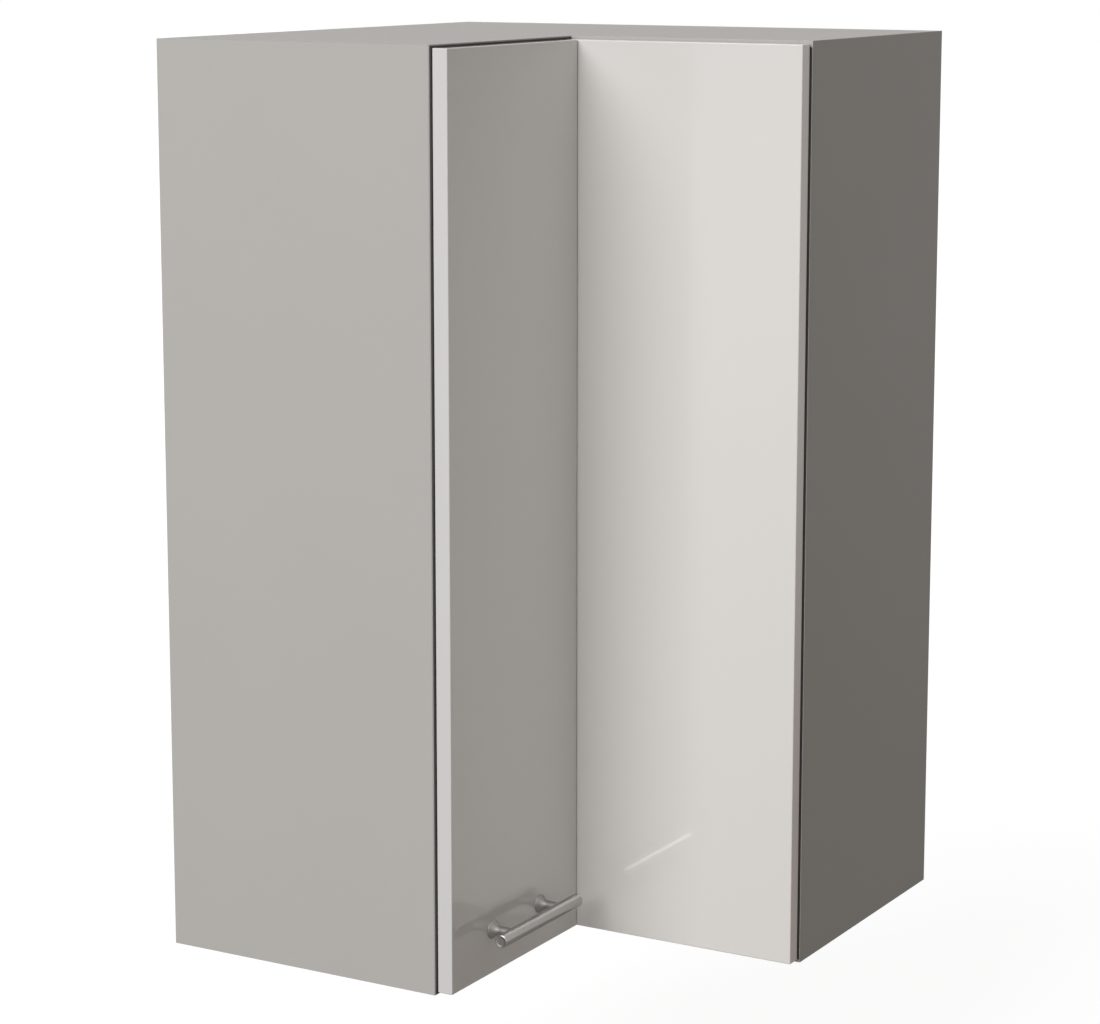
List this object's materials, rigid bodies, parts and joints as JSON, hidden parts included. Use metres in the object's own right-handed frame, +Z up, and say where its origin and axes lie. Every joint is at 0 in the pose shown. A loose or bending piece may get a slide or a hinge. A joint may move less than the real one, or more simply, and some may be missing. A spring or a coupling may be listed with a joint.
{
  "type": "corner wall cabinet",
  "caption": "L-shaped corner wall cabinet with shelves, a folding pair of overlay doors on concealed hinges, hanging hooks and a bar handle.",
  "frame": {"origin": "middle of the cabinet's 600 mm square in plan, on the underside of the carcass", "axes": "+Z up; the room's corner lies at (-X, +Y), the left wing runs along the left wall towards -Y and the right wing along the right wall towards +X; the doors face +X and -Y"},
  "size_m": [0.6, 0.6, 0.952],
  "materials": {
    "laminate": "light grey melamine-faced chipboard, fine matt grain, edge banded",
    "back_board": "thin light grey painted fibreboard",
    "door_lacquer": "high-gloss light grey fibreboard door, mirror-like face",
    "timber": "planed softwood",
    "nickel": "nickel-plated stamped steel",
    "satin_steel": "satin stainless steel",
    "white_plastic": "off-white moulded plastic"
  },
  "bodies": {
    "carcass": {"left_end_panel": "laminate", "right_end_panel": "laminate", "bottom_panel": "laminate", "top_panel": "laminate", "rear_corner_post": "timber", "left_back_panel": "back_board", "right_back_panel": "back_board", "lower_shelf": "laminate", "lower_shelf_support_left_rear": "nickel", "lower_shelf_support_left_front": "nickel", "lower_shelf_support_right_rear": "nickel", "lower_shelf_support_right_front": "nickel", "lower_shelf_support_corner": "nickel", "upper_shelf": "laminate", "upper_shelf_support_left_rear": "nickel", "upper_shelf_support_left_front": "nickel", "upper_shelf_support_right_rear": "nickel", "upper_shelf_support_right_front": "nickel", "upper_shelf_support_corner": "nickel", "left_hanger_body": "white_plastic", "right_hanger_body": "white_plastic", "lower_hinge_plate": "nickel", "lower_hinge_arm": "nickel", "lower_hinge_arm_pin": "nickel", "middle_hinge_plate": "nickel", "middle_hinge_arm": "nickel", "middle_hinge_arm_pin": "nickel", "upper_hinge_plate": "nickel", "upper_hinge_arm": "nickel", "upper_hinge_arm_pin": "nickel"},
    "right_leaf": {"right_door": "door_lacquer", "lower_hinge_cup": "nickel", "lower_hinge_cup_pin": "nickel", "middle_hinge_cup": "nickel", "middle_hinge_cup_pin": "nickel", "upper_hinge_cup": "nickel", "upper_hinge_cup_pin": "nickel", "lower_fold_plate": "nickel", "middle_fold_plate": "nickel", "upper_fold_plate": "nickel"},
    "left_leaf": {"left_door": "door_lacquer", "lower_fold_cup": "nickel", "lower_fold_pin": "nickel", "middle_fold_cup": "nickel", "middle_fold_pin": "nickel", "upper_fold_cup": "nickel", "upper_fold_pin": "nickel", "handle_bar": "satin_steel", "outer_handle_post": "satin_steel", "outer_handle_screw": "nickel", "inner_handle_post": "satin_steel", "inner_handle_screw": "nickel"},
    "inner_levers": {"lower_hinge_inner_lever": "nickel", "middle_hinge_inner_lever": "nickel", "upper_hinge_inner_lever": "nickel"},
    "outer_levers": {"lower_hinge_outer_lever": "nickel", "middle_hinge_outer_lever": "nickel", "upper_hinge_outer_lever": "nickel"},
    "left_hook": {"left_hanger_hook": "nickel"},
    "right_hook": {"right_hanger_hook": "nickel"}
  },
  "joints": [
    {"name": "door_swing", "type": "hinge", "parent": "carcass", "child": "right_leaf", "pos_m": [0.296, -0.042, 0.476], "axis": [0, 0, 1], "range_deg": [0, 165]},
    {"name": "leaf_fold", "type": "hinge", "parent": "right_leaf", "child": "left_leaf", "pos_m": [0.023, -0.048, 0.476], "axis": [0, 0, -1], "range_deg": [0, 60]},
    {"name": "inner_lever_swing", "type": "hinge", "parent": "carcass", "child": "inner_levers", "pos_m": [0.2664, -0.022, 0.476], "axis": [0, 0, 1], "range_deg": [0, 165]},
    {"name": "outer_lever_swing", "type": "hinge", "parent": "right_leaf", "child": "outer_levers", "pos_m": [0.285, -0.0286, 0.476], "axis": [0, 0, -1], "range_deg": [0, 165]},
    {"name": "left_hook_adjust", "type": "slide", "parent": "carcass", "child": "left_hook", "axis": [-1, 0, 0], "range_m": [-0.005, 0.003]},
    {"name": "right_hook_adjust", "type": "slide", "parent": "carcass", "child": "right_hook", "axis": [0, 1, 0], "range_m": [-0.005, 0.003]}
  ],
  "couplings": [
    {"joint": "leaf_fold", "follows": "door_swing", "ratio": 0.3636},
    {"joint": "inner_lever_swing", "follows": "door_swing", "ratio": 1},
    {"joint": "outer_lever_swing", "follows": "door_swing", "ratio": 1}
  ]
}
